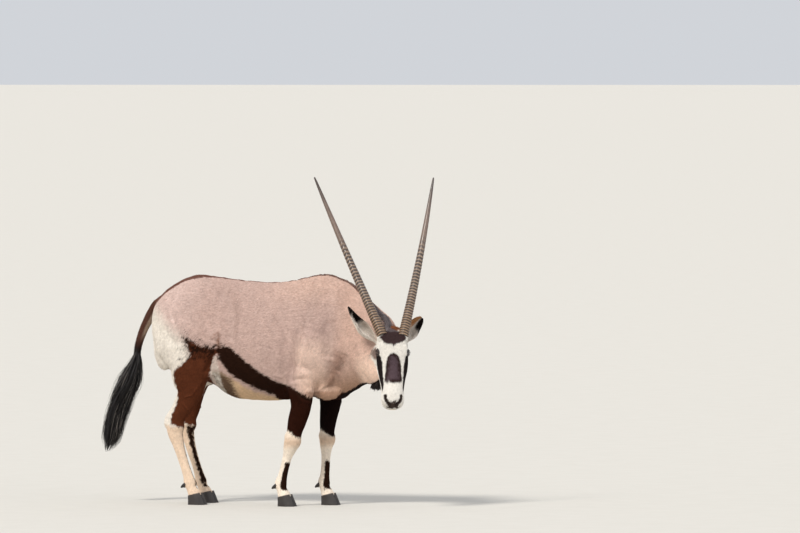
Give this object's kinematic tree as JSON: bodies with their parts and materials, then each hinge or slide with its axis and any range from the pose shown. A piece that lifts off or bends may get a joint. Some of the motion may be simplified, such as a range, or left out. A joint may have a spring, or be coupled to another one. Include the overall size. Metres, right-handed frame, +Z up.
{
  "type": "gemsbok",
  "caption": "Life-size standing gemsbok with long ringed horns, head lowered and turned to its right, long tufted tail swung back; a still figure that stands on its hooves.",
  "frame": {"origin": "middle of the bottom of the bounding box, on the floor under the animal", "axes": "+X from tail to head, +Y to the animal's left, +Z up"},
  "size_m": [1.7964, 0.5614, 1.7082],
  "materials": {
    "body_coat": "short flat pinkish grey-tan hair with a dark flank band and white belly",
    "neck_coat": "short flat tan hair with a short dark mane",
    "face_coat": "very short white hair with black patches",
    "ear_coat": "short pale hair with black rim and tip",
    "leg_coat": "short hair, dark brown above and white below",
    "dock_coat": "short dark brown hair",
    "tuft_hair": "long coarse black hair with grey streaks",
    "horn": "ringed grey-brown horn, darker and smooth towards the tips",
    "hoof_horn": "dark hoof horn with fine growth lines",
    "eye": "dark wet glossy eye"
  },
  "bodies": {
    "root": {"claw_front_left_inner": "hoof_horn", "claw_front_left_outer": "hoof_horn", "claw_front_right_inner": "hoof_horn", "claw_front_right_outer": "hoof_horn", "claw_hind_left_inner": "hoof_horn", "claw_hind_left_outer": "hoof_horn", "claw_hind_right_inner": "hoof_horn", "claw_hind_right_outer": "hoof_horn", "dewclaw_front_left_inner": "hoof_horn", "dewclaw_front_left_outer": "hoof_horn", "dewclaw_front_right_inner": "hoof_horn", "dewclaw_front_right_outer": "hoof_horn", "dewclaw_hind_left_inner": "hoof_horn", "dewclaw_hind_left_outer": "hoof_horn", "dewclaw_hind_right_inner": "hoof_horn", "dewclaw_hind_right_outer": "hoof_horn", "ear_left": "ear_coat", "ear_right": "ear_coat", "eye_left": "eye", "eye_right": "eye", "head": "face_coat", "horn_left": "horn", "horn_right": "horn", "leg_front_left": "leg_coat", "leg_front_right": "leg_coat", "leg_hind_left": "leg_coat", "leg_hind_right": "leg_coat", "neck": "neck_coat", "tail_dock": "dock_coat", "tail_tuft": "tuft_hair", "torso": "body_coat"}
  },
  "joints": []
}
